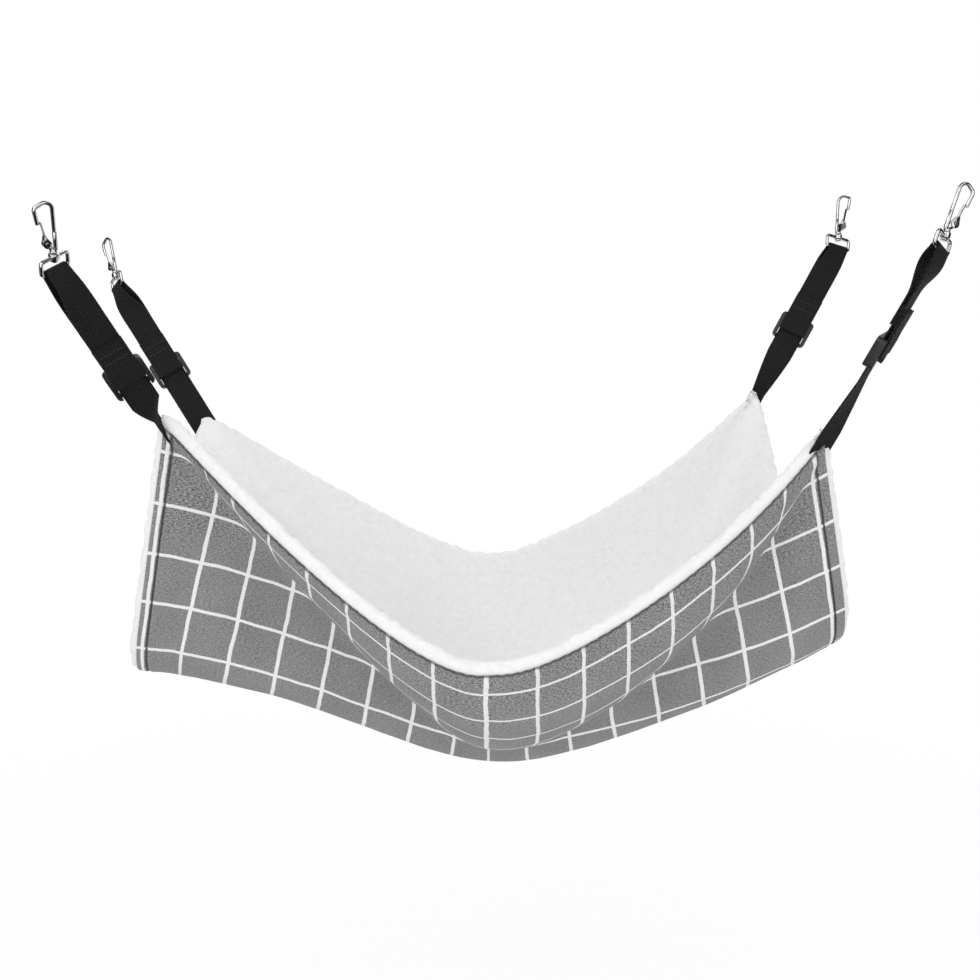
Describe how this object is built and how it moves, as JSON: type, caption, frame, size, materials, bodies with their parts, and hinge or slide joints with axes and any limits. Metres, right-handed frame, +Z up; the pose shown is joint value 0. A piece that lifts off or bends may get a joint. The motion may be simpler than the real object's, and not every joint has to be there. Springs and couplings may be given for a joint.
{
  "type": "cat hammock",
  "caption": "Fleece lined cloth sling for a small pet, hung at its corners by adjustable webbing straps with swivelling spring gate hooks.",
  "frame": {"origin": "middle of the four strap seams at the corners of the pad", "axes": "+X along the pad from its left end to its right end, +Y to the back, +Z up"},
  "size_m": [0.6064, 0.3221, 0.4338],
  "materials": {
    "cover_cloth": "woven grey cloth with a wide white check",
    "fleece": "white curly pile fleece",
    "webbing": "black ribbed nylon webbing",
    "thread": "twisted sewing thread",
    "slider_plastic": "moulded black acetal",
    "plated_steel": "bright nickel plate",
    "spring_steel": "spring strip"
  },
  "bodies": {
    "pad": {"outer_cover": "cover_cloth", "sherpa_lining": "fleece", "edge_topstitch": "thread", "front_left_strap_tail": "webbing", "front_left_bartack": "thread", "front_right_strap_tail": "webbing", "front_right_bartack": "thread", "back_left_strap_tail": "webbing", "back_left_bartack": "thread", "back_right_strap_tail": "webbing", "back_right_bartack": "thread"},
    "front_left_strap": {"front_left_strap": "webbing"},
    "front_left_slider": {"front_left_slider": "slider_plastic", "front_left_strap_end": "webbing", "front_left_end_stitch": "thread"},
    "front_left_loop": {"front_left_strap_loop": "webbing"},
    "front_left_ring": {"front_left_ring": "plated_steel"},
    "front_left_hook": {"front_left_hook": "plated_steel", "front_left_gate_pin": "plated_steel", "front_left_gate_spring": "spring_steel"},
    "front_left_gate": {"front_left_gate": "plated_steel"},
    "front_right_strap": {"front_right_strap": "webbing"},
    "front_right_slider": {"front_right_slider": "slider_plastic", "front_right_strap_end": "webbing", "front_right_end_stitch": "thread"},
    "front_right_loop": {"front_right_strap_loop": "webbing"},
    "front_right_ring": {"front_right_ring": "plated_steel"},
    "front_right_hook": {"front_right_hook": "plated_steel", "front_right_gate_pin": "plated_steel", "front_right_gate_spring": "spring_steel"},
    "front_right_gate": {"front_right_gate": "plated_steel"},
    "back_left_strap": {"back_left_strap": "webbing"},
    "back_left_slider": {"back_left_slider": "slider_plastic", "back_left_strap_end": "webbing", "back_left_end_stitch": "thread"},
    "back_left_loop": {"back_left_strap_loop": "webbing"},
    "back_left_ring": {"back_left_ring": "plated_steel"},
    "back_left_hook": {"back_left_hook": "plated_steel", "back_left_gate_pin": "plated_steel", "back_left_gate_spring": "spring_steel"},
    "back_left_gate": {"back_left_gate": "plated_steel"},
    "back_right_strap": {"back_right_strap": "webbing"},
    "back_right_slider": {"back_right_slider": "slider_plastic", "back_right_strap_end": "webbing", "back_right_end_stitch": "thread"},
    "back_right_loop": {"back_right_strap_loop": "webbing"},
    "back_right_ring": {"back_right_ring": "plated_steel"},
    "back_right_hook": {"back_right_hook": "plated_steel", "back_right_gate_pin": "plated_steel", "back_right_gate_spring": "spring_steel"},
    "back_right_gate": {"back_right_gate": "plated_steel"}
  },
  "joints": [
    {"name": "front_left_strap_swing", "type": "hinge", "parent": "pad", "child": "front_left_strap", "pos_m": [-0.22203, -0.08119, 0.01361], "axis": [0.0715, -0.8394, -0.5387], "range_deg": [-30, 30]},
    {"name": "front_left_slider_slide", "type": "slide", "parent": "front_left_strap", "child": "front_left_slider", "axis": [-0.2958, -0.5336, 0.7923], "range_m": [-0.01, 0.016]},
    {"name": "front_left_loop_slide", "type": "slide", "parent": "front_left_strap", "child": "front_left_loop", "axis": [-0.2958, -0.5336, 0.7923], "range_m": [-0.005, 0.008]},
    {"name": "front_left_ring_tilt", "type": "hinge", "parent": "front_left_loop", "child": "front_left_ring", "pos_m": [-0.25738, -0.14496, 0.10829], "axis": [-0.3456, -0.865, -0.3638], "range_deg": [-18, 62]},
    {"name": "front_left_hook_swivel", "type": "hinge", "parent": "front_left_ring", "child": "front_left_hook", "pos_m": [-0.25569, -0.14985, 0.11833], "axis": [0.1493, -0.4334, 0.8888], "continuous": true},
    {"name": "front_left_gate_open", "type": "hinge", "parent": "front_left_hook", "child": "front_left_gate", "pos_m": [-0.25739, -0.15457, 0.12307], "axis": [-0.6296, 0.6515, 0.4234], "range_deg": [0, 18], "stiffness_Nm_per_rad": 0.02, "springref_deg": -20.05, "deforming": ["front_left_gate_spring"]},
    {"name": "front_right_strap_swing", "type": "hinge", "parent": "pad", "child": "front_right_strap", "pos_m": [0.22543, -0.08744, 0.00461], "axis": [-0.8102, -0.5839, 0.0516], "range_deg": [-30, 30]},
    {"name": "front_right_slider_slide", "type": "slide", "parent": "front_right_strap", "child": "front_right_slider", "axis": [0.3241, -0.3728, 0.8695], "range_m": [-0.01, 0.016]},
    {"name": "front_right_loop_slide", "type": "slide", "parent": "front_right_strap", "child": "front_right_loop", "axis": [0.3241, -0.3728, 0.8695], "range_m": [-0.005, 0.008]},
    {"name": "front_right_ring_tilt", "type": "hinge", "parent": "front_right_loop", "child": "front_right_ring", "pos_m": [0.26869, -0.1372, 0.12068], "axis": [-0.6166, -0.7221, 0.3136], "range_deg": [-62, 18]},
    {"name": "front_right_hook_swivel", "type": "hinge", "parent": "front_right_ring", "child": "front_right_hook", "pos_m": [0.27235, -0.13573, 0.13127], "axis": [0.3241, 0.1301, 0.937], "continuous": true},
    {"name": "front_right_gate_open", "type": "hinge", "parent": "front_right_hook", "child": "front_right_gate", "pos_m": [0.27733, -0.13398, 0.13571], "axis": [0.313, -0.9495, 0.0236], "range_deg": [0, 18], "stiffness_Nm_per_rad": 0.02, "springref_deg": -20.05, "deforming": ["front_right_gate_spring"]},
    {"name": "back_left_strap_swing", "type": "hinge", "parent": "pad", "child": "back_left_strap", "pos_m": [-0.2358, 0.07699, -0.00343], "axis": [-0.8344, -0.268, -0.4817], "range_deg": [-30, 30]},
    {"name": "back_left_slider_slide", "type": "slide", "parent": "back_left_strap", "child": "back_left_slider", "axis": [-0.5151, 0.0678, 0.8545], "range_m": [-0.01, 0.016]},
    {"name": "back_left_loop_slide", "type": "slide", "parent": "back_left_strap", "child": "back_left_loop", "axis": [-0.5151, 0.0678, 0.8545], "range_m": [-0.005, 0.008]},
    {"name": "back_left_ring_tilt", "type": "hinge", "parent": "back_left_loop", "child": "back_left_ring", "pos_m": [-0.29993, 0.08543, 0.10295], "axis": [-0.5626, 0.7357, -0.3771], "range_deg": [-62, 18]},
    {"name": "back_left_hook_swivel", "type": "hinge", "parent": "back_left_ring", "child": "back_left_hook", "pos_m": [-0.30246, 0.08887, 0.11342], "axis": [-0.2234, 0.3039, 0.9261], "continuous": true},
    {"name": "back_left_gate_open", "type": "hinge", "parent": "back_left_hook", "child": "back_left_gate", "pos_m": [-0.30642, 0.09248, 0.11775], "axis": [0.5967, 0.794, -0.1166], "range_deg": [0, 18], "stiffness_Nm_per_rad": 0.02, "springref_deg": -20.05, "deforming": ["back_left_gate_spring"]},
    {"name": "back_right_strap_swing", "type": "hinge", "parent": "pad", "child": "back_right_strap", "pos_m": [0.21768, 0.07659, 0.01794], "axis": [-0.776, -0.4563, 0.4354], "range_deg": [-30, 30]},
    {"name": "back_right_slider_slide", "type": "slide", "parent": "back_right_strap", "child": "back_right_slider", "axis": [0.4629, 0.0568, 0.8846], "range_m": [-0.01, 0.016]},
    {"name": "back_right_loop_slide", "type": "slide", "parent": "back_right_strap", "child": "back_right_loop", "axis": [0.4629, 0.0568, 0.8846], "range_m": [-0.005, 0.008]},
    {"name": "back_right_ring_tilt", "type": "hinge", "parent": "back_right_loop", "child": "back_right_ring", "pos_m": [0.27786, 0.08398, 0.13294], "axis": [-0.8765, -0.4405, 0.1944], "range_deg": [-61, 19]},
    {"name": "back_right_hook_swivel", "type": "hinge", "parent": "back_right_ring", "child": "back_right_hook", "pos_m": [0.27875, 0.08699, 0.1438], "axis": [0.0795, 0.2658, 0.9607], "continuous": true},
    {"name": "back_right_gate_open", "type": "hinge", "parent": "back_right_hook", "child": "back_right_gate", "pos_m": [0.28143, 0.08604, 0.15008], "axis": [-0.7586, -0.6091, 0.2313], "range_deg": [0, 18], "stiffness_Nm_per_rad": 0.02, "springref_deg": -20.05, "deforming": ["back_right_gate_spring"]}
  ],
  "couplings": [
    {"joint": "front_left_loop_slide", "follows": "front_left_slider_slide", "ratio": 0.5},
    {"joint": "front_right_loop_slide", "follows": "front_right_slider_slide", "ratio": 0.5},
    {"joint": "back_left_loop_slide", "follows": "back_left_slider_slide", "ratio": 0.5},
    {"joint": "back_right_loop_slide", "follows": "back_right_slider_slide", "ratio": 0.5}
  ]
}
